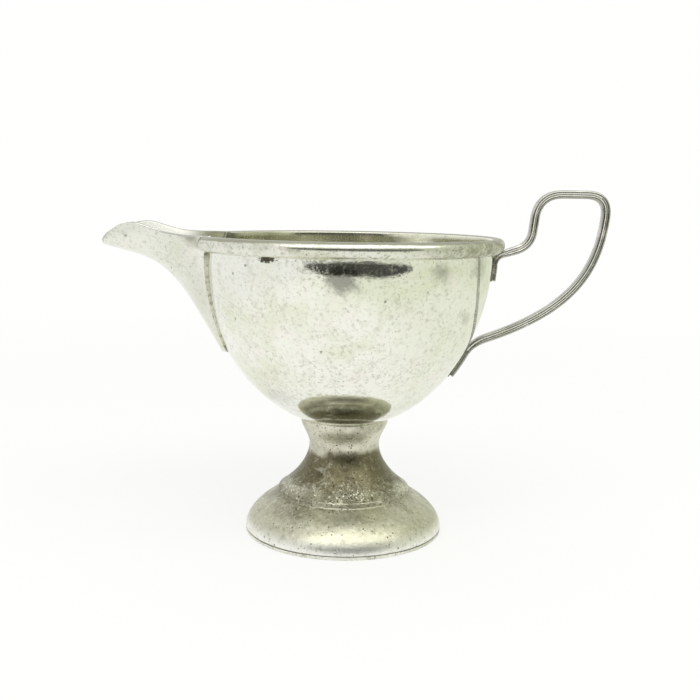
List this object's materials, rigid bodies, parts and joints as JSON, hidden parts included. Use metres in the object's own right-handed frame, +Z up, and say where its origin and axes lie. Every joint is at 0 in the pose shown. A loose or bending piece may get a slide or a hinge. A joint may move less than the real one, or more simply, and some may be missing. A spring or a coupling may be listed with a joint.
{
  "type": "milk jug",
  "caption": "Small silver-plated milk jug with a deep bowl, a sheet spout, a reeded wire handle and a stepped pedestal foot, for pouring milk or cream at the table.",
  "frame": {"origin": "on the table under the jug, midway between the spout's tip and the handle's outside, 2.65 mm to the handle side of the bowl's upright axis", "axes": "+Z up, -X the way it pours, +X towards the handle"},
  "size_m": [0.138, 0.0854, 0.0957],
  "materials": {
    "silver_plate": "worn silver plate, soft polish with fine pits",
    "tarnished_plate": "silver plate dulled to olive grey, speckled round the step",
    "solder": "dull grey soft solder, wiped smooth"
  },
  "bodies": {
    "root": {"bowl": "silver_plate", "rim_moulding": "silver_plate", "spout": "silver_plate", "handle": "silver_plate", "pedestal": "tarnished_plate", "foot_ring": "silver_plate", "spout_solder": "solder", "handle_upper_solder": "solder", "handle_lower_solder": "solder", "pedestal_solder": "solder"}
  },
  "joints": []
}
